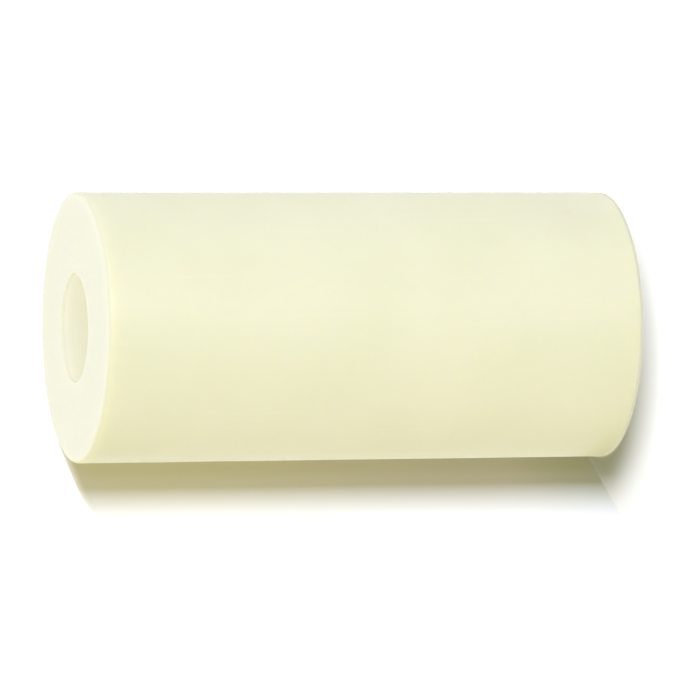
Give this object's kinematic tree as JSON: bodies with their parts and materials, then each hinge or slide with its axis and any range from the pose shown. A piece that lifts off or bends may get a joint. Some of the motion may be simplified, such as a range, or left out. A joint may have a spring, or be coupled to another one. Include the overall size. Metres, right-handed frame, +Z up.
{
  "type": "nylon spacer",
  "caption": "Plain round nylon spacer with a clearance bore through it, which keeps two parts a fixed distance apart on a screw.",
  "frame": {"origin": "centre of the lower end face, on the axis of the bore", "axes": "+Z up along the bore; X and Y are any two square directions, as the part is round"},
  "size_m": [0.0124, 0.0124, 0.0254],
  "materials": {
    "natural_nylon": "natural, undyed nylon with a satin, slightly waxy surface; faced ends"
  },
  "bodies": {
    "root": {"spacer": "natural_nylon"}
  },
  "joints": []
}
